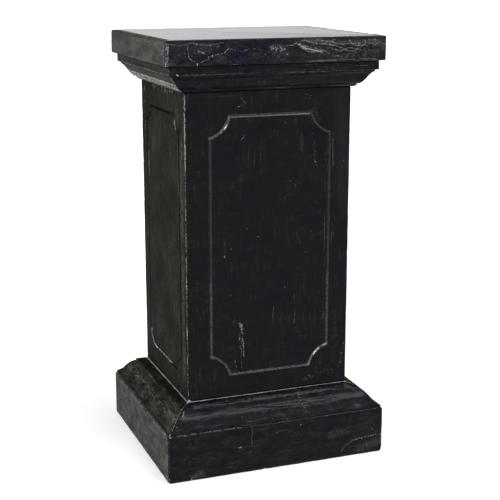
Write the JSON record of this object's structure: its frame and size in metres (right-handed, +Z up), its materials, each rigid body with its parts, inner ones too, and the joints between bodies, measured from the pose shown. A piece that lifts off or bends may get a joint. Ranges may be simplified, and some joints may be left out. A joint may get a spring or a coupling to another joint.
{
  "type": "marble pedestal column",
  "caption": "Rectangular black marble pedestal column: plinth block, base moulding, shaft with a cut panel line, cornice moulding and a flat top slab.",
  "frame": {"origin": "middle of the plinth block's underside, on the floor", "axes": "+Z up along the column, +X to the right along its wider side, -Y towards the front"},
  "size_m": [0.488, 0.434, 0.9],
  "materials": {
    "black_marble": "polished, with dull worn arrises and sparse white veins"
  },
  "bodies": {
    "root": {"plinth_block": "black_marble", "base_moulding": "black_marble", "shaft": "black_marble", "cornice_moulding": "black_marble", "top_slab": "black_marble"}
  },
  "joints": []
}
